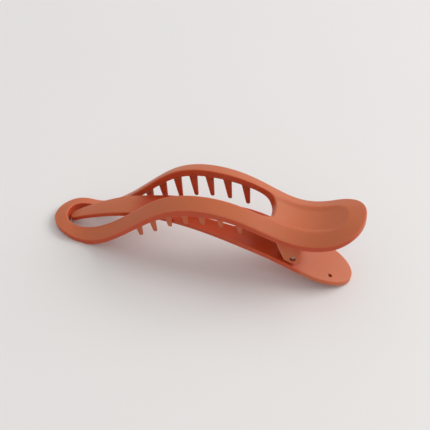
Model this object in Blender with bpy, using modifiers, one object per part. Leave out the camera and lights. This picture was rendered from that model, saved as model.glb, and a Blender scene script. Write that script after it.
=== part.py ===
"""A flat duckbill hair clip, lying closed on a table, in metres with +Z up.

The upper jaw is one moulding: a long wavy loop with a window, two rows of teeth, a thumb tab and two lugs.
The lower jaw is one moulding: a slotted tongue that rises through the window, two ears and a finger tab.
A steel pin through lugs and ears is the hinge, and a torsion spring round it holds the clip shut.
+X runs from the nose to the thumb tab, y = 0 is the plane of symmetry, and the clip rests on z = 0.
"""
import math
from collections import namedtuple

import bmesh
import bpy
import numpy as np
from mathutils import Matrix, Vector

# Driving dimensions, in millimetres
MM = 0.001
LENGTH = 130.0
UPPER_LENGTH = 128.1
DRAW_LEAN = math.radians(9.3)

NOSE_ROUND = 15.5
NOSE_POWER = 2.0
TAB_ROUND = 12.0
TAB_POWER = 2.2
WINDOW_START = 6.0
WINDOW_END = 94.3
WINDOW_NOSE_ROUND = 9.0
WINDOW_NOSE_POWER = 2.35
WINDOW_HINGE_ROUND = 7.0
WINDOW_HINGE_POWER = 2.8
WINDOW_END_LEAN = math.radians(-22)
END_LEAN_RISE = (83.3, 94.3)
END_LEAN_FALL = (94.8, 103.3)
END_LEAN_INSET = 2.0
SADDLE_FAN = 12.0
TAB_FAN_START = 112.0
TAB_FAN_END = 119.0

FLANK_WIDTH = 6.5
FLANK_CONVEXITY = 0.15
PANEL_DISH = 0.8
PANEL_DISH_REACH = 2.4
NOSE_EXTRA_WALL = 0.25
INNER_WALL = 3.45
NOSE_LEVEL_UNTIL = 18.0
NOSE_LEVEL_GONE = 32.0
UPPER_EDGE_ROUND = 0.5

TOOTH_INSET = 0.08
TOOTH_TIP_Y = 8.6
TOOTH_LEAN = math.radians(11.0)
TOOTH_ROOT_HALF = (1.95, 1.3)
TOOTH_TIP_HALF = (0.92, 0.8)
TOOTH_SIDES = 10
TOOTH_SINK = 1.3
TOOTH_FLARE = 1.5

TIP_START = 6.95
TIP_ROUND = 2.2
TIP_FAN = (1.3, 2.4)
TAIL_ROUND = 17.0
TAIL_FAN = (19.0, 5.0)
LOWER_WALL = 2.33
LOWER_CROWN = 0.3
LOWER_EDGE_ROUND = 0.45
REST_LAND = 0.2
REST_LAND_FROM = 122.0

PIN_X = 104.66
PIN_Z = 14.62
PIN_RADIUS = 0.85
PIN_HALF_LENGTH = 8.9
PIN_HOLE_RADIUS = 1.25
LUG_OUTER_Y = 9.6
LUG_WALL = 2.3
LUG_RADIUS = 2.62
LUG_EDGE_ROUND = 0.4
EAR_OUTER_Y = 6.9
EAR_WALL = 1.7
EAR_RADIUS = 2.7
SLOT_ENDS = (55.0, 81.0)
SLOT_HALF_WIDTH = 2.5
TIE_HOLE = (120.9, -6.1)
TIE_HOLE_RADIUS = 0.85

WIRE_RADIUS = 0.4
COIL_RADIUS = 2.1
COIL_HALF_WIDTH = 3.1
COIL_TURNS = 6
COIL_POINTS_PER_TURN = 12
LOWER_LEG_END_X = 112.8
UPPER_LEG_END_X = 108.5
LEG_GAP = 0.35

# Upper jaw: station from the nose, height of the outer top edge, half width, slope of the flank, edge wall
UpperStation = namedtuple("UpperStation", "along edge_height half_width flank_slope edge_wall")
UPPER_STATIONS = (
    UpperStation(0.0, 3.0, 12.2, 0.25, 2.5),
    UpperStation(8.0, 3.56, 12.2, 0.28, 2.5),
    UpperStation(15.0, 2.47, 12.2, 0.40, 2.5),
    UpperStation(22.0, 4.25, 12.9, 0.44, 2.5),
    UpperStation(30.0, 9.77, 13.73, 0.45, 2.5),
    UpperStation(40.0, 19.47, 14.47, 0.48, 2.6),
    UpperStation(50.0, 28.69, 14.48, 0.45, 2.95),
    UpperStation(58.0, 33.0, 14.15, 0.38, 3.1),
    UpperStation(68.0, 34.87, 13.79, 0.335, 3.05),
    UpperStation(76.0, 34.44, 13.6, 0.355, 2.85),
    UpperStation(85.0, 32.26, 13.34, 0.39, 2.7),
    UpperStation(92.0, 29.7, 13.1, 0.40, 2.6),
    UpperStation(104.0, 26.56, 12.88, 0.42, 2.55),
    UpperStation(114.0, 28.38, 13.15, 0.40, 2.55),
    UpperStation(121.0, 32.26, 13.15, 0.40, 2.55),
    UpperStation(128.1, 37.4, 13.15, 0.40, 2.55),
)

# Window: station from the nose and half width, before its rounded ends
WindowStation = namedtuple("WindowStation", "along half_width")
WINDOW_STATIONS = (
    WindowStation(6.0, 6.9),
    WindowStation(20.0, 6.88),
    WindowStation(35.0, 7.02),
    WindowStation(52.0, 7.62),
    WindowStation(68.0, 7.35),
    WindowStation(79.0, 7.2),
    WindowStation(87.0, 7.2),
    WindowStation(94.3, 6.8),
)

# Teeth: station of the root on the rail's underside and length to the tip
Tooth = namedtuple("Tooth", "root_along length")
TEETH = (
    Tooth(40.1, 9.9),
    Tooth(45.9, 11.4),
    Tooth(52.2, 11.3),
    Tooth(58.8, 10.7),
    Tooth(65.6, 10.3),
    Tooth(73.0, 10.0),
    Tooth(80.7, 9.8),
)

# Lower jaw: station from the nose, height of the underside, half width before its rounded ends
LowerStation = namedtuple("LowerStation", "along underside half_width")
LOWER_STATIONS = (
    LowerStation(6.95, 0.3, 2.3),
    LowerStation(12.0, 3.65, 2.9),
    LowerStation(18.0, 7.23, 3.64),
    LowerStation(25.0, 10.9, 4.48),
    LowerStation(32.0, 13.85, 5.1),
    LowerStation(40.0, 16.0, 5.57),
    LowerStation(48.0, 17.51, 6.35),
    LowerStation(56.0, 18.26, 7.2),
    LowerStation(65.0, 18.07, 8.12),
    LowerStation(75.0, 17.06, 9.17),
    LowerStation(86.0, 15.27, 10.3),
    LowerStation(96.0, 12.36, 10.5),
    LowerStation(105.0, 8.81, 10.45),
    LowerStation(114.0, 5.46, 10.4),
    LowerStation(122.0, 2.95, 10.4),
    LowerStation(130.0, 0.0, 10.4),
)


def smooth_curve(rows, column):
    """Natural cubic curve through one column of a station table."""
    along = np.array([row.along for row in rows])
    value = np.array([getattr(row, column) for row in rows])
    gap = np.diff(along)
    slope = np.diff(value) / gap
    count = len(along)
    system = np.eye(count)
    target = np.zeros(count)
    for i in range(1, count - 1):
        system[i, i - 1:i + 2] = gap[i - 1], 2 * (gap[i - 1] + gap[i]), gap[i]
        target[i] = 6 * (slope[i] - slope[i - 1])
    bend = np.linalg.solve(system, target)

    def at(station):
        i = min(max(int(np.searchsorted(along, station)) - 1, 0), count - 2)
        before = along[i + 1] - station
        after = station - along[i]
        cubic = (bend[i] * before ** 3 + bend[i + 1] * after ** 3) / (6 * gap[i])
        left = (value[i] / gap[i] - bend[i] * gap[i] / 6) * before
        right = (value[i + 1] / gap[i] - bend[i + 1] * gap[i] / 6) * after
        return float(cubic + left + right)

    return at


upper_edge_height = smooth_curve(UPPER_STATIONS, "edge_height")
upper_half_width = smooth_curve(UPPER_STATIONS, "half_width")
flank_slope = smooth_curve(UPPER_STATIONS, "flank_slope")
edge_wall = smooth_curve(UPPER_STATIONS, "edge_wall")
window_half_width = smooth_curve(WINDOW_STATIONS, "half_width")
lower_underside = smooth_curve(LOWER_STATIONS, "underside")
lower_half_width = smooth_curve(LOWER_STATIONS, "half_width")


def ease(value, low, high):
    """0 below low, 1 above high, and a smooth step between them."""
    share = min(max((value - low) / (high - low), 0.0), 1.0)
    return share * share * (3 - 2 * share)


def rounded_end(turn, length, power):
    """How far along a rounded end is, and its share of the full half width, for turn 0 to 1."""
    angle = turn * math.pi / 2
    advance = length * (1 - max(math.cos(angle), 0.0) ** (2 / power))
    return advance, math.sin(angle) ** (2 / power)


def spread(start, end, count):
    """Evenly spaced values from start to end, both included."""
    return [start + (end - start) * i / (count - 1) for i in range(count)]


def to_world(along, across, height):
    """Metres in the clip's frame from millimetres measured from the nose."""
    return Vector(((along - LENGTH / 2) * MM, across * MM, height * MM))


# Plan outlines, as rows from the outer edge to the window or the centre line

def upper_rows():
    """Plan rows of half the upper jaw: nose, rails, the window's end, tab and the tab's round end."""
    rows = []
    for turn in spread(0.0, 1.0, 11):
        outer_x, outer_share = rounded_end(turn, NOSE_ROUND, NOSE_POWER)
        inner_x, inner_share = rounded_end(turn, WINDOW_NOSE_ROUND, WINDOW_NOSE_POWER)
        inner_x += WINDOW_START
        rows.append(((outer_x, outer_share * upper_half_width(outer_x)),
                     (inner_x, inner_share * window_half_width(inner_x))))
    hinge_start = WINDOW_END - WINDOW_HINGE_ROUND
    rails = spread(NOSE_ROUND, hinge_start, 25)
    for along in rails[1:]:
        rows.append(((along, upper_half_width(along)), (along, window_half_width(along))))
    turned = spread(1.0, 0.0, 9)
    for turn, outer_x in list(zip(turned, spread(hinge_start, hinge_start + SADDLE_FAN, 9)))[1:]:
        back, share = rounded_end(turn, WINDOW_HINGE_ROUND, WINDOW_HINGE_POWER)
        inner_x = WINDOW_END - back
        rows.append(((outer_x, upper_half_width(outer_x)), (inner_x, share * window_half_width(inner_x))))
    tab_start = UPPER_LENGTH - TAB_ROUND
    tab_outer = spread(hinge_start + SADDLE_FAN, tab_start, 8)
    for outer_x, inner_x in list(zip(tab_outer, spread(WINDOW_END, TAB_FAN_START, 8)))[1:]:
        rows.append(((outer_x, upper_half_width(outer_x)), (inner_x, 0.0)))
    for turn, inner_x in list(zip(spread(1.0, 0.0, 11), spread(TAB_FAN_START, TAB_FAN_END, 11)))[1:]:
        back, share = rounded_end(turn, TAB_ROUND, TAB_POWER)
        outer_x = UPPER_LENGTH - back
        rows.append(((outer_x, share * upper_half_width(outer_x)), (inner_x, 0.0)))
    return rows


def lower_rows():
    """Plan rows of half the lower jaw, from its tip to the round end of its tail."""
    rows = []
    for turn, inner_x in zip(spread(0.0, 1.0, 6), spread(TIP_START + TIP_FAN[0], TIP_START + TIP_FAN[1], 6)):
        advance, share = rounded_end(turn, TIP_ROUND, 2.0)
        outer_x = TIP_START + advance
        rows.append(((outer_x, share * lower_half_width(outer_x)), (inner_x, 0.0)))
    tail_start = LENGTH - TAIL_ROUND
    outer_stations = spread(TIP_START + TIP_ROUND, tail_start, 33)
    inner_stations = spread(TIP_START + TIP_FAN[1], LENGTH - TAIL_FAN[0], 33)
    for outer_x, inner_x in list(zip(outer_stations, inner_stations))[1:]:
        rows.append(((outer_x, lower_half_width(outer_x)), (inner_x, 0.0)))
    fan = spread(LENGTH - TAIL_FAN[0], LENGTH - TAIL_FAN[1], 13)
    for turn, inner_x in list(zip(spread(1.0, 0.0, 13), fan))[1:]:
        back, share = rounded_end(turn, TAIL_ROUND, 2.0)
        outer_x = LENGTH - back
        rows.append(((outer_x, share * lower_half_width(outer_x)), (inner_x, 0.0)))
    return rows


# Heights

def flank_rise(along, inset):
    """Rise of the upper jaw's top above its outer edge: a sloping flank, then a slightly dished panel."""
    share = min(inset / FLANK_WIDTH, 1.0)
    bulged = (1 + FLANK_CONVEXITY) * share - FLANK_CONVEXITY * share * share
    rise = flank_slope(along) * FLANK_WIDTH * bulged
    beyond = ease(inset, FLANK_WIDTH - 0.5, FLANK_WIDTH + PANEL_DISH_REACH)
    return rise - PANEL_DISH * beyond


def upper_top(along, inset):
    return upper_edge_height(along) + flank_rise(along, inset)


def upper_depth(along, inset):
    """Wall of the upper jaw along the mould's draw: level underneath at the nose, even further back."""
    away = ease(along, NOSE_LEVEL_UNTIL, NOSE_LEVEL_GONE)
    level = edge_wall(along) + NOSE_EXTRA_WALL + flank_rise(along, inset)
    share = min(inset / FLANK_WIDTH, 1.0)
    even = edge_wall(along) + (INNER_WALL - edge_wall(along)) * share
    return level + (even - level) * away


def upper_underside(along, inset):
    return upper_top(along, inset) - upper_depth(along, inset)


def lower_top(along, across_share):
    return lower_underside(along) + LOWER_WALL + LOWER_CROWN * (1 - across_share ** 2)


# Mesh helpers

def plain_material(name, colour, metallic=0.0, roughness=0.5):
    material = bpy.data.materials.new(name)
    material.use_nodes = True
    shader = material.node_tree.nodes["Principled BSDF"]
    shader.inputs["Base Color"].default_value = (*colour, 1)
    shader.inputs["Metallic"].default_value = metallic
    shader.inputs["Roughness"].default_value = roughness
    return material


def new_object(name, mesh, collection, material=None):
    made = bpy.data.objects.new(name, mesh)
    collection.objects.link(made)
    if material:
        mesh.materials.append(material)
    return made


def mesh_from(bm, name):
    mesh = bpy.data.meshes.new(name)
    bm.to_mesh(mesh)
    bm.free()
    mesh.shade_smooth()
    mesh.set_sharp_from_angle(angle=math.radians(40))
    return mesh


def half_plate(name, rows, shares, top_point, under_point):
    """Half of a plate: a lofted top, extruded to its underside, and open at the plane of symmetry."""
    bm = bmesh.new()
    underside = bm.verts.layers.float_vector.new("underside")
    grid = []
    for outer, inner in rows:
        reach = math.dist(outer, inner)
        line = []
        for share in shares:
            along = outer[0] + (inner[0] - outer[0]) * share
            across = outer[1] + (inner[1] - outer[1]) * share
            vert = bm.verts.new(top_point(along, across, reach * share))
            vert[underside] = under_point(along, across, reach * share)
            line.append(vert)
        grid.append(line)
    for first, second in zip(grid, grid[1:]):
        for i in range(len(shares) - 1):
            bm.faces.new((first[i], second[i], second[i + 1], first[i + 1]))
    lowered = bmesh.ops.extrude_face_region(bm, geom=bm.faces[:])
    for element in lowered["geom"]:
        if isinstance(element, bmesh.types.BMVert):
            element.co = element[underside]
    on_plane = [face for face in bm.faces if all(abs(vert.co.y) < 1e-7 for vert in face.verts)]
    bmesh.ops.delete(bm, geom=on_plane, context="FACES")
    bmesh.ops.recalc_face_normals(bm, faces=bm.faces[:])
    return mesh_from(bm, name)


def round_rims(made, radius, angle):
    """Rounds the edges that turn by more than angle degrees."""
    rim = made.modifiers.new("rounded rims", "BEVEL")
    rim.width = radius * MM
    rim.segments = 2
    rim.limit_method = "ANGLE"
    rim.angle_limit = math.radians(angle)


def mirror_and_round(made, radius):
    """Mirrors a half across the plane of symmetry and rounds its rims."""
    mirror = made.modifiers.new("other half", "MIRROR")
    mirror.use_axis = (False, True, False)
    mirror.merge_threshold = 0.00002
    round_rims(made, radius, 40)


def combine(made, tool, operation):
    """Joins a hidden tool to a piece, or cuts it away."""
    step = made.modifiers.new(tool.name, "BOOLEAN")
    step.operation = operation
    step.solver = "EXACT"
    step.object = tool
    tool.hide_render = True
    tool.display_type = "WIRE"


def side_plates(name, outline, outer_y, wall, collection):
    """A flat outline in the XZ plane made a plate on each side of the plane of symmetry."""
    bm = bmesh.new()
    for side in (-1, 1):
        corners = [bm.verts.new(to_world(along, side * outer_y, height)) for along, height in outline]
        face = bm.faces.new(corners)
        walls = bmesh.ops.extrude_face_region(bm, geom=[face])
        moved = [e for e in walls["geom"] if isinstance(e, bmesh.types.BMVert)]
        bmesh.ops.translate(bm, vec=(0, -side * wall * MM, 0), verts=moved)
    bmesh.ops.recalc_face_normals(bm, faces=bm.faces[:])
    return new_object(name, mesh_from(bm, name), collection)


def round_bar(name, centre, radius, half_length, sides, collection):
    """A bar along Y."""
    bm = bmesh.new()
    turned = Matrix.Translation(centre) @ Matrix.Rotation(math.pi / 2, 4, "X")
    bmesh.ops.create_cone(bm, cap_ends=True, segments=sides, radius1=radius * MM, radius2=radius * MM,
                          depth=2 * half_length * MM, matrix=turned)
    return new_object(name, mesh_from(bm, name), collection)


def arc(centre, radius, start, end, count):
    """Points on an arc, angles in degrees from the first axis towards the second."""
    return [(centre[0] + radius * math.cos(math.radians(a)), centre[1] + radius * math.sin(math.radians(a)))
            for a in spread(start, end, count)]


# Upper jaw

def tooth_rings(tooth, side):
    """Rings of one tooth from its sunk root to its round tip; the root follows the slope of the rail."""
    root_y = window_half_width(tooth.root_along) + TOOTH_ROOT_HALF[1] + TOOTH_INSET
    inset = upper_half_width(tooth.root_along) - root_y
    root_height = upper_underside(tooth.root_along, inset)
    ahead = upper_underside(tooth.root_along + 0.5, inset)
    slope = ahead - upper_underside(tooth.root_along - 0.5, inset)
    root = to_world(tooth.root_along, side * root_y, root_height)
    tip = root + Vector((math.sin(TOOTH_LEAN), 0, -math.cos(TOOTH_LEAN))) * tooth.length * MM
    tip.y = side * TOOTH_TIP_Y * MM
    line = (tip - root).normalized()
    rings = (
        (root - line * TOOTH_SINK * MM, TOOTH_ROOT_HALF, 1.15, 1.0, slope),
        (root + line * 0.2 * MM, TOOTH_ROOT_HALF, 1.0, 1.0, slope),
        (root + line * TOOTH_FLARE * MM, TOOTH_ROOT_HALF, 0.85, 0.92, slope / 2),
        (tip - line * 0.8 * MM, TOOTH_TIP_HALF, 1.0, 1.0, 0.0),
        (tip - line * 0.25 * MM, TOOTH_TIP_HALF, 0.78, 0.78, 0.0),
        (tip, TOOTH_TIP_HALF, 0.32, 0.32, 0.0),
    )
    for middle, half, length_share, width_share, tilt in rings:
        ring = []
        for i in range(TOOTH_SIDES):
            angle = 2 * math.pi * i / TOOTH_SIDES
            reach_x = half[0] * length_share * math.cos(angle)
            reach_y = half[1] * width_share * math.sin(angle)
            ring.append(middle + Vector((reach_x, reach_y, reach_x * tilt)) * MM)
        yield ring


def teeth_tool(collection):
    """Tapered round teeth of both rows, sunk into the rails and leaning with the mould's draw."""
    bm = bmesh.new()
    for tooth in TEETH:
        for side in (-1, 1):
            loops = [[bm.verts.new(point) for point in ring] for ring in tooth_rings(tooth, side)]
            for low, high in zip(loops, loops[1:]):
                for i in range(TOOTH_SIDES):
                    j = (i + 1) % TOOTH_SIDES
                    bm.faces.new((low[i], low[j], high[j], high[i]))
            bm.faces.new(loops[0])
            bm.faces.new(loops[-1])
    bmesh.ops.recalc_face_normals(bm, faces=bm.faces[:])
    return new_object("teeth_tool", mesh_from(bm, "teeth_tool"), collection)


def lug_outline():
    """Wide at the root, round at the pin, with a foot along the lower jaw and a square heel."""
    front = [(94.2, 28.6), (96.4, 23.2), (98.4, 18.8), (100.3, 14.9), (101.2, 13.12)]
    rounded = arc((PIN_X, PIN_Z), LUG_RADIUS, 252.5, 288, 4)
    heel = [(106.7, 12.47), (107.4, 12.77), (107.9, 13.42), (108.0, 16.6)]
    back = [(107.5, 20.1), (107.7, 22.4), (108.9, 24.2)]
    return front + rounded + heel + back + [(110.0, 26.6), (102.0, 26.9)]


def make_upper_jaw(parts, tools):
    """The moulding, hung on an empty at the hinge's axis, about which it turns."""
    shares = (0.0, 0.16, 0.32, 0.46, 0.54, 0.76, 1.0)

    def top_point(along, across, inset):
        return to_world(along, across, upper_top(along, inset))

    def under_point(along, across, inset):
        top = upper_top(along, inset)
        depth = min(upper_depth(along, inset), top)
        at_end = ease(along, *END_LEAN_RISE) * (1 - ease(along, *END_LEAN_FALL))
        lean = DRAW_LEAN + (WINDOW_END_LEAN - DRAW_LEAN) * at_end * ease(inset, END_LEAN_INSET, FLANK_WIDTH)
        return to_world(along + math.tan(lean) * depth, across, top - depth)

    mesh = half_plate("upper_jaw", upper_rows(), shares, top_point, under_point)
    jaw = new_object("upper_jaw", mesh, parts, plain_material("upper_jaw", (0.50, 0.17, 0.085)))
    mirror_and_round(jaw, UPPER_EDGE_ROUND)
    combine(jaw, teeth_tool(tools), "UNION")
    lugs = side_plates("lugs_tool", lug_outline(), LUG_OUTER_Y, LUG_WALL, tools)
    round_rims(lugs, LUG_EDGE_ROUND, 40)
    combine(jaw, lugs, "UNION")
    pin_centre = to_world(PIN_X, 0, PIN_Z)
    hole = round_bar("lug_hole_tool", pin_centre, PIN_HOLE_RADIUS, LUG_OUTER_Y + 2, 20, tools)
    combine(jaw, hole, "DIFFERENCE")
    axis = bpy.data.objects.new("jaw_hinge_axis", None)
    axis.location = pin_centre
    parts.objects.link(axis)
    jaw.parent = axis
    jaw.matrix_parent_inverse = Matrix.Translation(-pin_centre)
    return jaw


# Lower jaw

def ear_outline():
    rounded = arc((PIN_X, PIN_Z), EAR_RADIUS, 195, -20, 13)
    return [(100.0, 11.0)] + rounded + [(108.4, 9.4), (108.9, 8.0)]


def slot_tool(collection):
    """An upright block with round ends, for the long slot in the middle of the tongue."""
    front = arc((SLOT_ENDS[0] + SLOT_HALF_WIDTH, 0), SLOT_HALF_WIDTH, 90, 270, 9)
    back = arc((SLOT_ENDS[1] - SLOT_HALF_WIDTH, 0), SLOT_HALF_WIDTH, -90, 90, 9)
    low = lower_underside(SLOT_ENDS[1]) - LOWER_WALL
    high = lower_top(SLOT_ENDS[0], 0) + LOWER_WALL
    bm = bmesh.new()
    face = bm.faces.new([bm.verts.new(to_world(along, across, low)) for along, across in front + back])
    walls = bmesh.ops.extrude_face_region(bm, geom=[face])
    moved = [e for e in walls["geom"] if isinstance(e, bmesh.types.BMVert)]
    bmesh.ops.translate(bm, vec=(0, 0, (high - low) * MM), verts=moved)
    bmesh.ops.recalc_face_normals(bm, faces=bm.faces[:])
    return new_object("slot_tool", mesh_from(bm, "slot_tool"), collection)


def make_lower_jaw(parts, tools):
    shares = (0.0, 0.33, 0.67, 1.0)

    def top_point(along, across, inset):
        full = lower_half_width(along)
        return to_world(along, across, lower_top(along, min(across / full, 1.0)))

    def under_point(along, across, inset):
        height = lower_underside(along) - REST_LAND * ease(along, REST_LAND_FROM, LENGTH - 2.0)
        return to_world(along, across, max(height, 0.0))

    mesh = half_plate("lower_jaw", lower_rows(), shares, top_point, under_point)
    jaw = new_object("lower_jaw", mesh, parts, plain_material("lower_jaw", (0.48, 0.16, 0.08)))
    mirror_and_round(jaw, LOWER_EDGE_ROUND)
    combine(jaw, slot_tool(tools), "DIFFERENCE")
    combine(jaw, side_plates("ears_tool", ear_outline(), EAR_OUTER_Y, EAR_WALL, tools), "UNION")
    pin_centre = to_world(PIN_X, 0, PIN_Z)
    ear_hole = round_bar("ear_hole_tool", pin_centre, PIN_HOLE_RADIUS, EAR_OUTER_Y + 2, 20, tools)
    combine(jaw, ear_hole, "DIFFERENCE")
    tie = to_world(TIE_HOLE[0], TIE_HOLE[1], lower_underside(TIE_HOLE[0]))
    tie_hole = round_bar("tie_hole_tool", tie, TIE_HOLE_RADIUS, 3 * LOWER_WALL, 16, tools)
    upright = Matrix.Translation(tie) @ Matrix.Rotation(math.pi / 2, 4, "X") @ Matrix.Translation(-tie)
    tie_hole.data.transform(upright)
    combine(jaw, tie_hole, "DIFFERENCE")
    return jaw


# Hinge pin and torsion spring

def make_hinge_pin(parts):
    pin = round_bar("hinge_pin", to_world(PIN_X, 0, PIN_Z), PIN_RADIUS, PIN_HALF_LENGTH, 24, parts)
    pin.data.materials.append(plain_material("hinge_pin", (0.62, 0.60, 0.57), metallic=1.0, roughness=0.35))
    round_rims(pin, 0.35, 60)
    return pin


def tangent_angle(point, side):
    """Angle on the coil where a straight leg to the point leaves it, on the side given as 1 or -1."""
    away = math.dist(point, (PIN_X, PIN_Z))
    towards = math.atan2(point[1] - PIN_Z, point[0] - PIN_X)
    return towards + side * math.acos(COIL_RADIUS / away)


def make_torsion_spring(parts):
    """Coil round the pin, a lower leg along the tail's top and an upper leg to the tab's underside."""
    lower_end = (LOWER_LEG_END_X, lower_top(LOWER_LEG_END_X, 0.3) + LEG_GAP + WIRE_RADIUS)
    inset = upper_half_width(UPPER_LEG_END_X) - COIL_HALF_WIDTH
    upper_end = (UPPER_LEG_END_X, upper_underside(UPPER_LEG_END_X, inset) - LEG_GAP - WIRE_RADIUS)
    start = tangent_angle(lower_end, -1)
    finish = tangent_angle(upper_end, 1) - 2 * math.pi * COIL_TURNS
    steps = round((start - finish) / (2 * math.pi) * COIL_POINTS_PER_TURN)
    points = [to_world(lower_end[0], COIL_HALF_WIDTH, lower_end[1])]
    for i in range(steps + 1):
        angle = start + (finish - start) * i / steps
        across = COIL_HALF_WIDTH - 2 * COIL_HALF_WIDTH * i / steps
        along = PIN_X + COIL_RADIUS * math.cos(angle)
        height = PIN_Z + COIL_RADIUS * math.sin(angle)
        points.append(to_world(along, across, height))
    points.append(to_world(upper_end[0], -COIL_HALF_WIDTH, upper_end[1]))
    curve = bpy.data.curves.new("torsion_spring", "CURVE")
    curve.dimensions = "3D"
    curve.bevel_depth = WIRE_RADIUS * MM
    curve.bevel_resolution = 2
    curve.use_fill_caps = True
    spline = curve.splines.new("POLY")
    spline.points.add(len(points) - 1)
    for spot, place in zip(spline.points, points):
        spot.co = (*place, 1)
    wire = plain_material("torsion_spring", (0.55, 0.55, 0.54), metallic=1.0, roughness=0.3)
    return new_object("torsion_spring", curve, parts, wire)


def main():
    for old in list(bpy.data.objects):
        bpy.data.objects.remove(old)
    parts = bpy.data.collections.new("duckbill_clip")
    tools = bpy.data.collections.new("cutters")
    for collection in (parts, tools):
        bpy.context.scene.collection.children.link(collection)
    make_upper_jaw(parts, tools)
    make_lower_jaw(parts, tools)
    make_hinge_pin(parts)
    make_torsion_spring(parts)


main()
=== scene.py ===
"""A terracotta duckbill hair clip that lies closed on a pale table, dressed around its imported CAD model."""
import math
from collections import namedtuple

import bmesh
import bpy
import numpy as np
from mathutils import Matrix, Vector


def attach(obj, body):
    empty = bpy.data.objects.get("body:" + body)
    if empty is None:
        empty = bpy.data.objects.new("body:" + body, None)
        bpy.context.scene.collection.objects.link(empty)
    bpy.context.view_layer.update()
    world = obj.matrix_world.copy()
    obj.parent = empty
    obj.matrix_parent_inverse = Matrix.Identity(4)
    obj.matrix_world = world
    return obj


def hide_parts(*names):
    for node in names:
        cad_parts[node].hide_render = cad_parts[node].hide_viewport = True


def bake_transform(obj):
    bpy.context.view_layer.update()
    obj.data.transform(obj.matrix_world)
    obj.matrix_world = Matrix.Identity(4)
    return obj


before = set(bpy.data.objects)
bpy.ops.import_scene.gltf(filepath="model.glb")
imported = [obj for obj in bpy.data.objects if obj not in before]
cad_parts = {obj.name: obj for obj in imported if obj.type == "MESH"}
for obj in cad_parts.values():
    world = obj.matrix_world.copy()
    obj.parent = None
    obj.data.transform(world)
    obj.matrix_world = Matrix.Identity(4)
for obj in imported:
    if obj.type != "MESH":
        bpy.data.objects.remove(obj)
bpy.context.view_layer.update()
MM = 0.001

# Camera
# It stands close in front of the clip, a little to the right of its middle, and looks down on it by about
# 46 degrees. Its place and turn come from fitting points of the clip to the photograph's 430 x 430 frame.
CAMERA_PLACE = Vector((0.03426, -0.16740, 0.19431))
CAMERA_AZIMUTH = math.radians(9.70)
CAMERA_DOWN = math.radians(45.65)
CAMERA_ROLL = math.radians(4.635)

camera_lens = bpy.data.cameras.new("photograph_view")
camera_lens.sensor_width = 36.0
camera_lens.lens = 50.23
camera_lens.clip_start = 0.01
camera = bpy.data.objects.new("photograph_view", camera_lens)
camera.matrix_world = (Matrix.Translation(CAMERA_PLACE)
                       @ Matrix.Rotation(CAMERA_AZIMUTH, 4, "Z")
                       @ Matrix.Rotation(math.pi / 2 - CAMERA_DOWN, 4, "X")
                       @ Matrix.Rotation(CAMERA_ROLL, 4, "Z"))
bpy.context.scene.collection.objects.link(camera)
bpy.context.scene.camera = camera

# Upper jaw
# One injection moulding in terracotta plastic: a long wavy loop whose two rails carry seven teeth each, a
# closed saddle behind its window, a dished thumb tab, and two lugs under the saddle for the hinge pin.
LENGTH = 130.0
UPPER_LENGTH = 128.1
FLANK_WIDTH = 6.5
FLANK_CONVEXITY = 0.15
PANEL_DISH = 0.8
PANEL_DISH_REACH = 2.4
DRAW_LEAN = math.radians(9.3)
WINDOW_START = 6.0
WINDOW_END = 94.3
WINDOW_END_LEAN = math.radians(-22)
PIN_X = 104.66
PIN_Z = 14.62

UpperStation = namedtuple("UpperStation", "along edge_height half_width flank_slope edge_wall")
UPPER_STATIONS = (
    UpperStation(0.0, 3.0, 12.2, 0.25, 2.5),
    UpperStation(8.0, 3.56, 12.2, 0.28, 2.5),
    UpperStation(15.0, 2.47, 12.2, 0.40, 2.5),
    UpperStation(22.0, 4.25, 12.9, 0.44, 2.5),
    UpperStation(30.0, 9.77, 13.73, 0.45, 2.5),
    UpperStation(40.0, 19.47, 14.47, 0.48, 2.6),
    UpperStation(50.0, 28.69, 14.48, 0.45, 2.95),
    UpperStation(58.0, 33.0, 14.15, 0.38, 3.1),
    UpperStation(68.0, 34.87, 13.79, 0.335, 3.05),
    UpperStation(76.0, 34.44, 13.6, 0.355, 2.85),
    UpperStation(85.0, 32.26, 13.34, 0.39, 2.7),
    UpperStation(92.0, 29.7, 13.1, 0.40, 2.6),
    UpperStation(104.0, 26.56, 12.88, 0.42, 2.55),
    UpperStation(114.0, 28.38, 13.15, 0.40, 2.55),
    UpperStation(121.0, 32.26, 13.15, 0.40, 2.55),
    UpperStation(128.1, 37.4, 13.15, 0.40, 2.55),
)
WindowStation = namedtuple("WindowStation", "along half_width")
WINDOW_STATIONS = (
    WindowStation(6.0, 6.9),
    WindowStation(20.0, 6.88),
    WindowStation(35.0, 7.02),
    WindowStation(52.0, 7.62),
    WindowStation(68.0, 7.35),
    WindowStation(79.0, 7.2),
    WindowStation(87.0, 7.2),
    WindowStation(94.3, 6.8),
)
Tooth = namedtuple("Tooth", "root_along length")
TEETH = (
    Tooth(40.1, 9.9),
    Tooth(45.9, 11.4),
    Tooth(52.2, 11.3),
    Tooth(58.8, 10.7),
    Tooth(65.6, 10.3),
    Tooth(73.0, 10.0),
    Tooth(80.7, 9.8),
)


def smooth_curve(stations, column):
    """Natural cubic curve through one column of a table of stations."""
    along = np.array([station.along for station in stations])
    value = np.array([getattr(station, column) for station in stations])
    gap = np.diff(along)
    slope = np.diff(value) / gap
    system = np.eye(len(along))
    target = np.zeros(len(along))
    for i in range(1, len(along) - 1):
        system[i, i - 1:i + 2] = gap[i - 1], 2 * (gap[i - 1] + gap[i]), gap[i]
        target[i] = 6 * (slope[i] - slope[i - 1])
    bend = np.linalg.solve(system, target)

    def at(place):
        i = min(max(int(np.searchsorted(along, place)) - 1, 0), len(along) - 2)
        before = along[i + 1] - place
        after = place - along[i]
        cubic = (bend[i] * before ** 3 + bend[i + 1] * after ** 3) / (6 * gap[i])
        left = (value[i] / gap[i] - bend[i] * gap[i] / 6) * before
        right = (value[i + 1] / gap[i] - bend[i + 1] * gap[i] / 6) * after
        return float(cubic + left + right)

    return at


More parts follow.
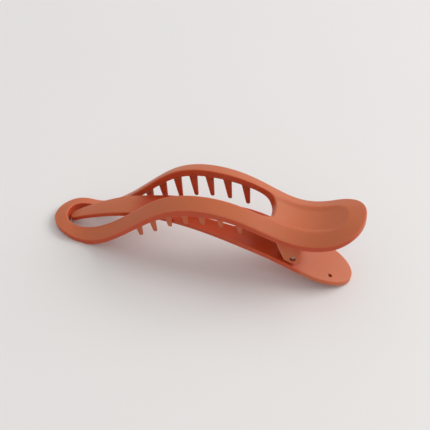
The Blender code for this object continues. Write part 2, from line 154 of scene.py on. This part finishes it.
def ease(value, low, high):
    """0 below low, 1 above high, and a smooth step between them."""
    share = min(max((value - low) / (high - low), 0.0), 1.0)
    return share * share * (3 - 2 * share)


def rounded_end(turn, length, power):
    """How far along a rounded end is, and its share of the full half width, for turn 0 to 1."""
    angle = turn * math.pi / 2
    return length * (1 - max(math.cos(angle), 0.0) ** (2 / power)), math.sin(angle) ** (2 / power)


def spread(start, end, count):
    """Evenly spaced values, without the first, which the stretch before it has."""
    return [start + (end - start) * (i + 1) / count for i in range(count)]


def clip_point(along, across, height):
    """A point in metres from millimetres along the clip from its nose, across it and up."""
    return Vector(((along - LENGTH / 2) * MM, across * MM, height * MM))


def half_plate(rows, shares, top_point, under_point, rim):
    """A plate that bends: a grid laid on half of its top, given its underside, mirrored, its rims rounded.
    Each row runs from a point of the outer edge to one of the window's edge or of the plane of symmetry."""
    bm = bmesh.new()
    underside = bm.verts.layers.float_vector.new("underside")
    bmesh.ops.create_grid(bm, x_segments=len(rows) - 1, y_segments=len(shares) - 1, size=1)
    for vert in bm.verts:
        outer, inner = rows[round((vert.co.x + 1) / 2 * (len(rows) - 1))]
        share = shares[round((vert.co.y + 1) / 2 * (len(shares) - 1))]
        along = outer[0] + (inner[0] - outer[0]) * share
        across = outer[1] + (inner[1] - outer[1]) * share
        inset = math.dist(outer, inner) * share
        vert.co = top_point(along, across, inset)
        vert[underside] = under_point(along, across, inset)
    lowered = bmesh.ops.extrude_face_region(bm, geom=bm.faces[:])
    for element in lowered["geom"]:
        if isinstance(element, bmesh.types.BMVert):
            element.co = element[underside]
    on_plane = [face for face in bm.faces if all(abs(vert.co.y) < 1e-7 for vert in face.verts)]
    bmesh.ops.delete(bm, geom=on_plane, context="FACES")
    bmesh.ops.mirror(bm, geom=bm.verts[:] + bm.edges[:] + bm.faces[:], axis="Y", merge_dist=0.00001)
    bmesh.ops.remove_doubles(bm, verts=bm.verts[:], dist=0.00001)
    bmesh.ops.recalc_face_normals(bm, faces=bm.faces[:])
    round_edges(bm, rim, 4)
    return bm


def round_edges(bm, radius, segments):
    """Rounds every edge that turns by more than 40 degrees."""
    sharp = [edge for edge in bm.edges if edge.calc_face_angle(0.0) > math.radians(40)]
    bmesh.ops.bevel(bm, geom=sharp, offset=radius * MM, offset_type="OFFSET", segments=segments, profile=0.5,
                    affect="EDGES", clamp_overlap=True, material=-1)


def stand_alone(bm, name):
    """The bmesh as an object of its own in the scene."""
    mesh = bpy.data.meshes.new(name)
    bm.to_mesh(mesh)
    bm.free()
    made = bpy.data.objects.new(name, mesh)
    bpy.context.scene.collection.objects.link(made)
    return made


def combine(made, tool, operation):
    """Joins a tool to a piece, or cuts it away, and removes the tool."""
    step = made.modifiers.new(tool.name, "BOOLEAN")
    step.operation = operation
    step.solver = "EXACT"
    step.object = tool
    joined = bpy.data.meshes.new_from_object(made.evaluated_get(bpy.context.evaluated_depsgraph_get()))
    made.modifiers.remove(step)
    made.data = joined
    bpy.data.objects.remove(tool)


def side_plates(name, outline, outer_y, wall, rim):
    """A flat outline made a plate with rounded rims on each side of the plane of symmetry."""
    bm = bmesh.new()
    for side in (-1, 1):
        corners = [bm.verts.new(clip_point(along, side * outer_y, height)) for along, height in outline]
        walls = bmesh.ops.extrude_face_region(bm, geom=[bm.faces.new(corners)])
        moved = [element for element in walls["geom"] if isinstance(element, bmesh.types.BMVert)]
        bmesh.ops.translate(bm, vec=(0, -side * wall * MM, 0), verts=moved)
    bmesh.ops.recalc_face_normals(bm, faces=bm.faces[:])
    round_edges(bm, rim, 3)
    return stand_alone(bm, name)


def cross_bar(name, radius, half_length):
    """A bar along Y, centred on the hinge's axis."""
    bm = bmesh.new()
    turned = Matrix.Translation(clip_point(PIN_X, 0, PIN_Z)) @ Matrix.Rotation(math.pi / 2, 4, "X")
    bmesh.ops.create_cone(bm, cap_ends=True, segments=48, radius1=radius * MM, radius2=radius * MM,
                          depth=2 * half_length * MM, matrix=turned)
    return stand_alone(bm, name)


def arc(centre, radius, start, end, count):
    """Points on an arc, angles in degrees from the first axis towards the second."""
    turns = [math.radians(start + (end - start) * i / (count - 1)) for i in range(count)]
    return [(centre[0] + radius * math.cos(turn), centre[1] + radius * math.sin(turn)) for turn in turns]


def mark_rubbed_rims(mesh):
    """Stores how sharply the surface bulges at each point, from 0 to 1: handling polishes rims and tips."""
    full_bulge = 0.8 / MM
    bm = bmesh.new()
    bm.from_mesh(mesh)
    bulge = np.zeros(len(bm.verts))
    for vert in bm.verts:
        area = sum(face.calc_area() / len(face.verts) for face in vert.link_faces)
        bend = sum(edge.calc_length() * edge.calc_face_angle_signed(0.0) for edge in vert.link_edges) / 4
        bulge[vert.index] = min(max(bend / max(area, 1e-12) / full_bulge, 0.0), 1.0)
    around = [[vert.index] + [edge.other_vert(vert).index for edge in vert.link_edges] for vert in bm.verts]
    for _ in range(3):
        bulge = np.array([bulge[near].mean() for near in around])
    bm.free()
    mesh.attributes.new("rubbed", "FLOAT", "POINT").data.foreach_set("value", bulge.astype(np.float32))


def mark_grained_and_lit_faces(mesh, grain):
    """Stores at each point, from 0 to 1, the share of the paler colour: the mould's grain together with painted
    light.
    """
    grained_and_lit = []
    for vert, normal in zip(mesh.vertices, mesh.vertex_normals):
        along = vert.co.x / MM + LENGTH / 2
        outwards = normal.vector.y * math.copysign(1, vert.co.y)
        grained_and_lit.append(grain(along, abs(vert.co.y) / MM, vert.co.z / MM, outwards, normal.vector.z))
    mesh.attributes.new("grained_and_lit", "FLOAT", "POINT").data.foreach_set("value", grained_and_lit)


def finish_moulding(made, grain):
    """Welds a piece, shades it smooth over its rounded rims, and marks its rubbed rims and the faces that get the
    mould's grain and painted light.
    """
    bm = bmesh.new()
    bm.from_mesh(made.data)
    bmesh.ops.remove_doubles(bm, verts=bm.verts[:], dist=0.000002)
    bm.to_mesh(made.data)
    bm.free()
    mark_rubbed_rims(made.data)
    mark_grained_and_lit_faces(made.data, grain)
    made.data.shade_smooth()
    made.data.set_sharp_from_angle(angle=math.radians(38))
    weigh = made.modifiers.new("flat faces stay flat", "WEIGHTED_NORMAL")
    weigh.keep_sharp = True


class Socket:
    """An output of a material's node, with the operators of shader maths."""

    def __init__(self, finish, output):
        self.finish = finish
        self.output = output

    def maths(self, operation, first, second):
        return self.finish.node("ShaderNodeMath", {"operation": operation}, {0: first, 1: second}, "Value")

    def __add__(self, other):
        return self.maths("ADD", self, other)

    def __sub__(self, other):
        return self.maths("SUBTRACT", self, other)

    def __rsub__(self, other):
        return self.maths("SUBTRACT", other, self)

    def __mul__(self, other):
        return self.maths("MULTIPLY", self, other)

    def __pow__(self, other):
        return self.maths("POWER", self, other)

    __radd__ = __add__
    __rmul__ = __mul__


class Finish:
    """A procedural material, built from nodes around one Principled shader."""

    def __init__(self, name, **constants):
        self.material = bpy.data.materials.new(name)
        self.material.use_nodes = True
        self.shader = self.material.node_tree.nodes["Principled BSDF"]
        for socket, value in constants.items():
            self.shader.inputs[socket.replace("_", " ")].default_value = value

    def node(self, kind, settings, values, output):
        """Adds a node of this kind, sets it up, fills its sockets, and returns one of its outputs."""
        made = self.material.node_tree.nodes.new(kind)
        for setting, value in settings.items():
            setattr(made, setting, value)
        for socket, value in values.items():
            self.fill(made.inputs[socket], value)
        return Socket(self, made.outputs[output])

    def fill(self, socket, value):
        if isinstance(value, Socket):
            self.material.node_tree.links.new(value.output, socket)
        else:
            socket.default_value = value

    def wear(self, **sockets):
        """Links what changes over the surface to the shader."""
        for socket, value in sockets.items():
            self.fill(self.shader.inputs[socket.replace("_", " ")], value)

    def place(self):
        return self.node("ShaderNodeTexCoord", {}, {}, "Object")

    def noise(self, place, size, detail=2.0):
        """Noise from 0 to 1, with features of this size in millimetres."""
        values = {"Vector": place, "Scale": 1 / (size * MM), "Detail": detail}
        return self.node("ShaderNodeTexNoise", {}, values, "Fac")

    def step(self, value, low, high):
        """0 below low, 1 above high, and a smooth step between them."""
        return self.node("ShaderNodeMapRange", {"interpolation_type": "SMOOTHSTEP"},
                         {"Value": value, "From Min": low, "From Max": high}, "Result")

    def mix(self, share, first, second):
        """A colour between two."""
        return self.node("ShaderNodeMix", {"data_type": "RGBA"}, {"Factor": share, 6: first, 7: second}, 2)

    def bump(self, height, depth, strength=1.0, under=None):
        """Normals of a height from 0 to 1 that stands for this depth in millimetres."""
        values = {"Height": height, "Distance": depth * MM, "Strength": strength}
        if under:
            values["Normal"] = under
        return self.node("ShaderNodeBump", {}, values, "Normal")


def terracotta_plastic():
    """Through-coloured matt plastic, a little translucent: paler with painted light where faces turn to the light
    and where the mould has its grain, deeper with painted shade on walls and hollows, with faint clouding, and
    with rims rubbed paler and smoother."""
    finish = Finish("terracotta_plastic", Specular_IOR_Level=0.33, Subsurface_Weight=0.4,
                    Subsurface_Radius=(1.0, 0.25, 0.1), Subsurface_Scale=0.0025)
    place = finish.place()
    rubbed = finish.node("ShaderNodeAttribute", {"attribute_name": "rubbed"}, {}, "Fac")
    grained_and_lit = finish.node("ShaderNodeAttribute", {"attribute_name": "grained_and_lit"}, {}, "Fac")
    clouds = finish.noise(place, 14.0, 3.0)
    fingers = finish.noise(place, 5.0, 4.0)
    grain = finish.noise(place, 0.16, 2.0)
    worn = finish.step(rubbed + (fingers - 0.5) * 0.35, 0.25, 0.9)
    # The deeper colour is painted shade on walls and on the tongue under the arch; the paler one is painted light
    # on faces turned to the light, which also carry the mould's grain.
    smooth_and_shaded_colour = finish.mix(clouds, (0.48, 0.053, 0.010, 1), (0.52, 0.066, 0.014, 1))
    grained_and_lit_colour = finish.mix(clouds, (0.51, 0.128, 0.047, 1), (0.555, 0.147, 0.058, 1))
    body = finish.mix(grained_and_lit, smooth_and_shaded_colour, grained_and_lit_colour)
    speckled = finish.mix(finish.step(grain, 0.3, 0.7) * grained_and_lit * 0.15, body, (0.60, 0.17, 0.08, 1))
    finish.wear(Base_Color=finish.mix(worn * 0.35, speckled, (0.60, 0.17, 0.08, 1)),
                Roughness=0.42 + grained_and_lit * 0.08 + (fingers - 0.5) * 0.10 - worn * 0.08,
                Normal=finish.bump(grain, 0.012, 0.6, finish.bump(clouds, 0.05, 0.5)))
    return finish.material


def flank_rise(along, inset):
    """Rise of the jaw's top above its outer edge: a sloping flank, then a slightly dished panel."""
    share = min(inset / FLANK_WIDTH, 1.0)
    bulged = (1 + FLANK_CONVEXITY) * share - FLANK_CONVEXITY * share * share
    fades = (111.0, 121.0)
    fades_by = 0.75
    dished = ease(inset, FLANK_WIDTH - 0.5, FLANK_WIDTH + PANEL_DISH_REACH) * (1 - fades_by * ease(along, *fades))
    return flank_slope(along) * FLANK_WIDTH * bulged - PANEL_DISH * dished


def upper_top(along, inset):
    return upper_edge_height(along) + flank_rise(along, inset)


def upper_depth(along, inset):
    """Wall of the jaw along the mould's draw: level underneath at the nose, even further back."""
    nose_extra_wall = 0.25
    inner_wall = 3.45
    level_until = 18.0
    even_from = 32.0
    wall = edge_wall(along)
    level = wall + nose_extra_wall + flank_rise(along, inset)
    even = wall + (inner_wall - wall) * min(inset / FLANK_WIDTH, 1.0)
    return level + (even - level) * ease(along, level_until, even_from)


def upper_top_point(along, across, inset):
    return clip_point(along, across, upper_top(along, inset))


def upper_under_point(along, across, inset):
    """The underside lies along the mould's draw, which leans the other way at the window's hinge end."""
    lean_rises = (83.3, 94.3)
    lean_falls = (94.8, 103.3)
    lean_inset = 2.0
    top = upper_top(along, inset)
    depth = min(upper_depth(along, inset), top)
    at_end = ease(along, *lean_rises) * (1 - ease(along, *lean_falls))
    lean = DRAW_LEAN + (WINDOW_END_LEAN - DRAW_LEAN) * at_end * ease(inset, lean_inset, FLANK_WIDTH)
    return clip_point(along + math.tan(lean) * depth, across, top - depth)


def upper_grain_and_light(along, across, height, outwards, upwards):
    """Share of the paler colour: painted light on the top, which also has the mould's grain, and on the outer
    sides of the teeth and lugs that hang below the underside; elsewhere painted shade.
    """
    inset = upper_half_width(along) - across
    below = upper_top(along, inset) - upper_depth(along, inset) - height
    return max(ease(upwards, 0.3, 0.8), ease(below, 0.2, 1.2) * ease(outwards, -0.4, 0.4))


def upper_rows():
    """Rows of the plan: round the nose, along a rail, round the window's end, and round the tab."""
    nose_round = 15.5
    tab_round = 12.0
    window_nose_round = 9.0
    window_hinge_round = 7.0
    saddle_fan = 12.0
    tab_fan = (112.0, 119.0)
    rows = []
    for turn in [0.0] + spread(0.0, 1.0, 30):
        outer_x, outer_share = rounded_end(turn, nose_round, 2.0)
        advance, inner_share = rounded_end(turn, window_nose_round, 2.35)
        inner_x = WINDOW_START + advance
        rows.append(((outer_x, outer_share * upper_half_width(outer_x)),
                     (inner_x, inner_share * window_half_width(inner_x))))
    hinge_start = WINDOW_END - window_hinge_round
    for along in spread(nose_round, hinge_start, 96):
        rows.append(((along, upper_half_width(along)), (along, window_half_width(along))))
    for turn, outer_x in zip(spread(1.0, 0.0, 24), spread(hinge_start, hinge_start + saddle_fan, 24)):
        back, share = rounded_end(turn, window_hinge_round, 2.8)
        inner_x = WINDOW_END - back
        rows.append(((outer_x, upper_half_width(outer_x)), (inner_x, share * window_half_width(inner_x))))
    tab_outer = spread(hinge_start + saddle_fan, UPPER_LENGTH - tab_round, 24)
    for outer_x, inner_x in zip(tab_outer, spread(WINDOW_END, tab_fan[0], 24)):
        rows.append(((outer_x, upper_half_width(outer_x)), (inner_x, 0.0)))
    for turn, inner_x in zip(spread(1.0, 0.0, 30), spread(*tab_fan, 30)):
        back, share = rounded_end(turn, tab_round, 2.2)
        outer_x = UPPER_LENGTH - back
        rows.append(((outer_x, share * upper_half_width(outer_x)), (inner_x, 0.0)))
    return rows


def upper_teeth():
    """Both rows of teeth: each leans back from a flared root sunk in its rail to a round tip."""
    lean = math.radians(11.0)
    root_half = Vector((1.95, 1.3))
    tip_half = Vector((0.92, 0.8))
    tip_y = 8.6
    tip_round = 0.8
    flare = 1.5
    root_inset = 0.08
    bm = bmesh.new()
    for tooth in TEETH:
        root_y = window_half_width(tooth.root_along) + root_half.y + root_inset
        inset = upper_half_width(tooth.root_along) - root_y
        ahead = upper_top(tooth.root_along + 0.5, inset) - upper_depth(tooth.root_along + 0.5, inset)
        behind = upper_top(tooth.root_along - 0.5, inset) - upper_depth(tooth.root_along - 0.5, inset)
        root_z = upper_top(tooth.root_along, inset) - upper_depth(tooth.root_along, inset)
        run = Vector((math.sin(lean) * tooth.length, tip_y - root_y, -math.cos(lean) * tooth.length))
        reach = run.length
        rings = []
        for down in (-1.3, -0.4, 0.2, 0.5, 0.8, 1.15, flare):
            flared = (max(flare - down, 0.0) / (flare - 0.2)) ** 2
            half_x = root_half.x * min(0.85 + 0.15 * flared, 1.15)
            half_y = root_half.y * (0.92 + 0.08 * min(flared, 1.0))
            rings.append((down, half_x, half_y, (ahead - behind) * (0.5 + 0.5 * min(flared, 1.0))))
        for turn in (0, 15, 30, 45, 60, 72, 82):
            angle = math.radians(turn)
            rings.append((reach - tip_round * (1 - math.sin(angle)), tip_half.x * math.cos(angle),
                          tip_half.y * math.cos(angle), 0.0))
        for side in (-1, 1):
            start = Vector((tooth.root_along - LENGTH / 2, side * root_y, root_z))
            line = Vector((run.x, side * run.y, run.z)) / reach
            outline = bmesh.ops.create_circle(bm, cap_ends=True, segments=24, radius=1)["verts"]
            before = Matrix.Identity(4)
            for down, half_x, half_y, tilt in rings:
                middle = (start + line * down) * MM
                after = Matrix(((half_x * MM, 0, 0, middle.x), (0, half_y * MM, 0, middle.y),
                                (half_x * tilt * MM, 0, 1, middle.z), (0, 0, 0, 1)))
                if down > rings[0][0]:
                    cap = [face for face in outline[0].link_faces if len(face.verts) == len(outline)]
                    grown = bmesh.ops.extrude_face_region(bm, geom=cap)
                    outline = [corner for corner in grown["geom"] if isinstance(corner, bmesh.types.BMVert)]
                bmesh.ops.transform(bm, matrix=after @ before.inverted(), verts=outline)
                before = after
    bmesh.ops.recalc_face_normals(bm, faces=bm.faces[:])
    return stand_alone(bm, "teeth")


upper_edge_height = smooth_curve(UPPER_STATIONS, "edge_height")
upper_half_width = smooth_curve(UPPER_STATIONS, "half_width")
flank_slope = smooth_curve(UPPER_STATIONS, "flank_slope")
edge_wall = smooth_curve(UPPER_STATIONS, "edge_wall")
window_half_width = smooth_curve(WINDOW_STATIONS, "half_width")

loop_shares = [0.0] + [0.1 + 0.8 * i / 20 for i in range(21)] + [1.0]
upper_plate = half_plate(upper_rows(), loop_shares, upper_top_point, upper_under_point, 0.5)
upper_jaw = stand_alone(upper_plate, "upper_jaw_moulding")
combine(upper_jaw, upper_teeth(), "UNION")
lug_front = [(94.2, 28.6), (96.4, 23.2), (98.4, 18.8), (100.3, 14.9), (101.2, 13.12)]
lug_foot = arc((PIN_X, PIN_Z), 2.62, 252.5, 288, 8)
lug_heel = [(106.7, 12.47), (107.4, 12.77), (107.9, 13.42), (108.0, 16.6)]
lug_back = [(107.5, 20.1), (107.7, 22.4), (108.9, 24.2)]
lug_root = [(110.0, 26.6), (102.0, 26.9)]
lug_outline = lug_front + lug_foot + lug_heel + lug_back + lug_root
combine(upper_jaw, side_plates("lugs", lug_outline, outer_y=9.6, wall=2.3, rim=0.4), "UNION")
combine(upper_jaw, cross_bar("lug_holes", radius=1.25, half_length=11.6), "DIFFERENCE")
finish_moulding(upper_jaw, upper_grain_and_light)
terracotta = terracotta_plastic()
upper_jaw.data.materials.append(terracotta)
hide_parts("upper_jaw")
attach(upper_jaw, "upper_jaw")

# Lower jaw
# The second moulding in the same plastic: a slotted tongue that rises from its round tip through the window
# of the upper jaw, two ears for the pin, and a wide round tail for the finger with one small hole.
LowerStation = namedtuple("LowerStation", "along underside half_width")
LOWER_STATIONS = (
    LowerStation(6.95, 0.3, 2.3),
    LowerStation(12.0, 3.65, 2.9),
    LowerStation(18.0, 7.23, 3.64),
    LowerStation(25.0, 10.9, 4.48),
    LowerStation(32.0, 13.85, 5.1),
    LowerStation(40.0, 16.0, 5.57),
    LowerStation(48.0, 17.51, 6.35),
    LowerStation(56.0, 18.26, 7.2),
    LowerStation(65.0, 18.07, 8.12),
    LowerStation(75.0, 17.06, 9.17),
    LowerStation(86.0, 15.27, 10.3),
    LowerStation(96.0, 12.36, 10.5),
    LowerStation(105.0, 8.81, 10.45),
    LowerStation(114.0, 5.46, 10.4),
    LowerStation(122.0, 2.95, 10.4),
    LowerStation(130.0, 0.0, 10.4),
)
LOWER_WALL = 2.33
LOWER_CROWN = 0.3

lower_underside = smooth_curve(LOWER_STATIONS, "underside")
lower_half_width = smooth_curve(LOWER_STATIONS, "half_width")


def lower_top(along, across_share):
    return lower_underside(along) + LOWER_WALL + LOWER_CROWN * (1 - across_share ** 2)


def lower_top_point(along, across, inset):
    return clip_point(along, across, lower_top(along, min(across / lower_half_width(along), 1.0)))


def lower_under_point(along, across, inset):
    rest_land = 0.2
    land_from = 122.0
    land_full = 128.0
    height = lower_underside(along) - rest_land * ease(along, land_from, land_full)
    return clip_point(along, across, max(height, 0.0))


def lower_grain_and_light(along, across, height, outwards, upwards):
    """Share of the paler colour: painted light, with the mould's grain, on the tops of the tip and the tail and
    on the tail's rim; the tongue under the arch and the rest get painted shade in the deeper colour.
    """
    on_tip = ease(upwards, 0.3, 0.8) * (1 - ease(along, 34.0, 42.0))
    on_tail = ease(upwards, -0.8, -0.3) * ease(along, 105.0, 111.0)
    return max(on_tip, on_tail)


def lower_rows():
    """Rows of the plan: round the tip, along the tongue and round the tail."""
    tip_start = LOWER_STATIONS[0].along
    tip_round = 2.2
    tip_fan = (tip_start + 1.3, tip_start + 2.4)
    tail_round = 17.0
    tail_fan = (LENGTH - 19.0, LENGTH - 5.0)
    rows = []
    for turn, inner_x in zip([0.0] + spread(0.0, 1.0, 15), tip_fan[:1] + tuple(spread(*tip_fan, 15))):
        advance, share = rounded_end(turn, tip_round, 2.0)
        outer_x = tip_start + advance
        rows.append(((outer_x, share * lower_half_width(outer_x)), (inner_x, 0.0)))
    outer_stations = spread(tip_start + tip_round, LENGTH - tail_round, 110)
    for outer_x, inner_x in zip(outer_stations, spread(tip_fan[1], tail_fan[0], 110)):
        rows.append(((outer_x, lower_half_width(outer_x)), (inner_x, 0.0)))
    for turn, inner_x in zip(spread(1.0, 0.0, 36), spread(*tail_fan, 36)):
        back, share = rounded_end(turn, tail_round, 2.0)
        outer_x = LENGTH - back
        rows.append(((outer_x, share * lower_half_width(outer_x)), (inner_x, 0.0)))
    return rows


def tongue_slot():
    """A cutter with round ends for the long slot in the middle of the tongue."""
    ends = (55.0, 81.0)
    half_width = 2.5
    low = 12.0
    high = 24.0
    front = arc((ends[0] + half_width, 0), half_width, 90, 270, 25)
    back = arc((ends[1] - half_width, 0), half_width, -90, 90, 25)
    bm = bmesh.new()
    face = bm.faces.new([bm.verts.new(clip_point(along, across, low)) for along, across in front + back])
    walls = bmesh.ops.extrude_face_region(bm, geom=[face])
    moved = [element for element in walls["geom"] if isinstance(element, bmesh.types.BMVert)]
    bmesh.ops.translate(bm, vec=(0, 0, (high - low) * MM), verts=moved)
    bmesh.ops.recalc_face_normals(bm, faces=bm.faces[:])
    return stand_alone(bm, "tongue_slot")


def tie_hole():
    """A cutter for the small round hole in the tail."""
    along = 120.9
    across = -6.1
    radius = 0.85
    length = 14.0
    placed = Matrix.Translation(clip_point(along, across, lower_underside(along)))
    bm = bmesh.new()
    bmesh.ops.create_cone(bm, cap_ends=True, segments=32, radius1=radius * MM, radius2=radius * MM,
                          depth=length * MM, matrix=placed)
    return stand_alone(bm, "tie_hole")


tongue_shares = [0.0, 0.22] + [0.22 + 0.78 * i / 9 for i in range(1, 10)]
lower_plate = half_plate(lower_rows(), tongue_shares, lower_top_point, lower_under_point, 0.45)
lower_jaw = stand_alone(lower_plate, "lower_jaw_moulding")
ear_outline = [(100.0, 11.0)] + arc((PIN_X, PIN_Z), 2.7, 195, -20, 29) + [(108.4, 9.4), (108.9, 8.0)]
combine(lower_jaw, tongue_slot(), "DIFFERENCE")
combine(lower_jaw, side_plates("ears", ear_outline, outer_y=6.9, wall=1.7, rim=0.25), "UNION")
combine(lower_jaw, cross_bar("ear_holes", radius=1.25, half_length=8.9), "DIFFERENCE")
combine(lower_jaw, tie_hole(), "DIFFERENCE")
finish_moulding(lower_jaw, lower_grain_and_light)
lower_jaw.data.materials.append(terracotta)
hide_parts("lower_jaw")
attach(lower_jaw, "lower_jaw")

# Hinge pin
# A short steel pin through the lugs and the ears. It is cut from bright rod, turned to length with its two
# ends rounded over, and it stays still while the upper jaw turns about it.
PIN_RADIUS = 0.85
PIN_HALF_LENGTH = 8.9


def bright_steel(name, dark, light, ring_size):
    """Bright steel with fine rings from turning or drawing, and faint clouds of handling."""
    finish = Finish(name, Metallic=1.0)
    place = finish.place()
    stretched = finish.node("ShaderNodeMapping", {}, {"Vector": place, "Scale": (0.15, 1.0, 0.15)}, "Vector")
    rings = finish.noise(stretched, ring_size, 3.0)
    clouds = finish.noise(place, 1.6, 3.0)
    finish.wear(Base_Color=finish.mix(clouds, dark, light),
                Roughness=0.30 + clouds * 0.12 + rings * 0.05,
                Normal=finish.bump(rings, 0.004, 0.5))
    return finish.material


pin_bm = bmesh.new()
pin_turn = Matrix.Translation(clip_point(PIN_X, 0, PIN_Z)) @ Matrix.Rotation(math.pi / 2, 4, "X")
bmesh.ops.create_cone(pin_bm, cap_ends=True, segments=48, radius1=PIN_RADIUS * MM, radius2=PIN_RADIUS * MM,
                      depth=2 * PIN_HALF_LENGTH * MM, matrix=pin_turn)
round_edges(pin_bm, 0.35, 5)
hinge_pin = stand_alone(pin_bm, "hinge_pin_steel")
hinge_pin.data.shade_smooth()
hinge_pin.data.set_sharp_from_angle(angle=math.radians(38))
pin_steel = bright_steel("bright_pin_steel", (0.36, 0.32, 0.29, 1), (0.47, 0.43, 0.39, 1), ring_size=0.12)
hinge_pin.data.materials.append(pin_steel)
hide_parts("hinge_pin")
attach(hinge_pin, "lower_jaw")

# Torsion spring
# Spring wire wound six times round the pin between the ears. One leg lies along the tail, the other presses
# on the tab from below, and the coil winds up between them as the jaws open.
WIRE_RADIUS = 0.4
COIL_RADIUS = 2.1
COIL_HALF_WIDTH = 3.1
COIL_TURNS = 6
LEG_GAP = 0.35


def tangent_angle(point, side):
    """Angle on the coil where a straight leg to the point leaves it, on the side given as 1 or -1."""
    away = math.dist(point, (PIN_X, PIN_Z))
    return math.atan2(point[1] - PIN_Z, point[0] - PIN_X) + side * math.acos(COIL_RADIUS / away)


def spring_path():
    """Points along the wire: the leg on the tail, the coil, and the leg under the tab."""
    lower_along = 112.8
    upper_along = 108.5
    lower_end = (lower_along, lower_top(lower_along, 0.3) + LEG_GAP + WIRE_RADIUS)
    inset = upper_half_width(upper_along) - COIL_HALF_WIDTH
    underside = upper_top(upper_along, inset) - upper_depth(upper_along, inset)
    upper_end = (upper_along, underside - LEG_GAP - WIRE_RADIUS)
    start = tangent_angle(lower_end, -1)
    finish = tangent_angle(upper_end, 1) - 2 * math.pi * COIL_TURNS
    steps = round((start - finish) / (2 * math.pi) * 32)
    path = [clip_point(lower_end[0], COIL_HALF_WIDTH, lower_end[1])]
    for i in range(steps + 1):
        angle = start + (finish - start) * i / steps
        path.append(clip_point(PIN_X + COIL_RADIUS * math.cos(angle), COIL_HALF_WIDTH * (1 - 2 * i / steps),
                               PIN_Z + COIL_RADIUS * math.sin(angle)))
    path.append(clip_point(upper_end[0], -COIL_HALF_WIDTH, upper_end[1]))
    return path


spring_curve = bpy.data.curves.new("torsion_spring_path", "CURVE")
spring_curve.dimensions = "3D"
spring_curve.bevel_depth = WIRE_RADIUS * MM
spring_curve.bevel_resolution = 4
spring_curve.use_fill_caps = True
spring_points = spring_path()
spring_line = spring_curve.splines.new("POLY")
spring_line.points.add(len(spring_points) - 1)
for spot, point in zip(spring_line.points, spring_points):
    spot.co = (*point, 1)
spring_drawn = bpy.data.objects.new("torsion_spring_path", spring_curve)
torsion_spring = bpy.data.objects.new("torsion_spring_wire", bpy.data.meshes.new_from_object(spring_drawn))
bpy.data.objects.remove(spring_drawn)
bpy.context.scene.collection.objects.link(torsion_spring)
torsion_spring.data.shade_smooth()
torsion_spring.data.set_sharp_from_angle(angle=math.radians(38))
wire_steel = bright_steel("spring_wire_steel", (0.40, 0.39, 0.37, 1), (0.56, 0.55, 0.53, 1), ring_size=0.2)
torsion_spring.data.materials.append(wire_steel)
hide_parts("torsion_spring")
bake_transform(torsion_spring)

# Table
# A plain pale table top with a soft finish, well larger than any view of the clip.
table_bm = bmesh.new()
bmesh.ops.create_grid(table_bm, x_segments=1, y_segments=1, size=3.0)
table = stand_alone(table_bm, "table")
table_finish = Finish("pale_table_top")
table_place = table_finish.place()
table_clouds = table_finish.noise(table_place, 90.0, 3.0)
table_colour = table_finish.mix(table_clouds, (0.775, 0.765, 0.757, 1), (0.795, 0.785, 0.777, 1))
table_grain = table_finish.noise(table_place, 0.8, 2.0)
table_finish.wear(Base_Color=table_colour, Roughness=0.5 + table_clouds * 0.1,
                  Normal=table_finish.bump(table_grain, 0.01, 0.3))
table.data.materials.append(table_finish.material)

# Light
# Soft daylight from a broad window behind the clip and a little to its right, and a pale room all round.
world = bpy.data.worlds.new("pale_room")
bpy.context.scene.world = world
world.use_nodes = True
world.node_tree.nodes["Background"].inputs["Color"].default_value = (1.0, 0.99, 0.985, 1)
world.node_tree.nodes["Background"].inputs["Strength"].default_value = 0.67
window_light = bpy.data.lights.new("broad_window", "AREA")
window_light.shape = "RECTANGLE"
window_light.size = 2.0
window_light.size_y = 1.6
window_light.energy = 38.0
window_light.color = (1.0, 0.985, 0.965)
window = bpy.data.objects.new("broad_window", window_light)
window.location = (1.7, 1.0, 1.5)
window.rotation_euler = (-window.location).to_track_quat("-Z", "Y").to_euler()
bpy.context.scene.collection.objects.link(window)
bpy.context.scene.view_settings.view_transform = "Standard"
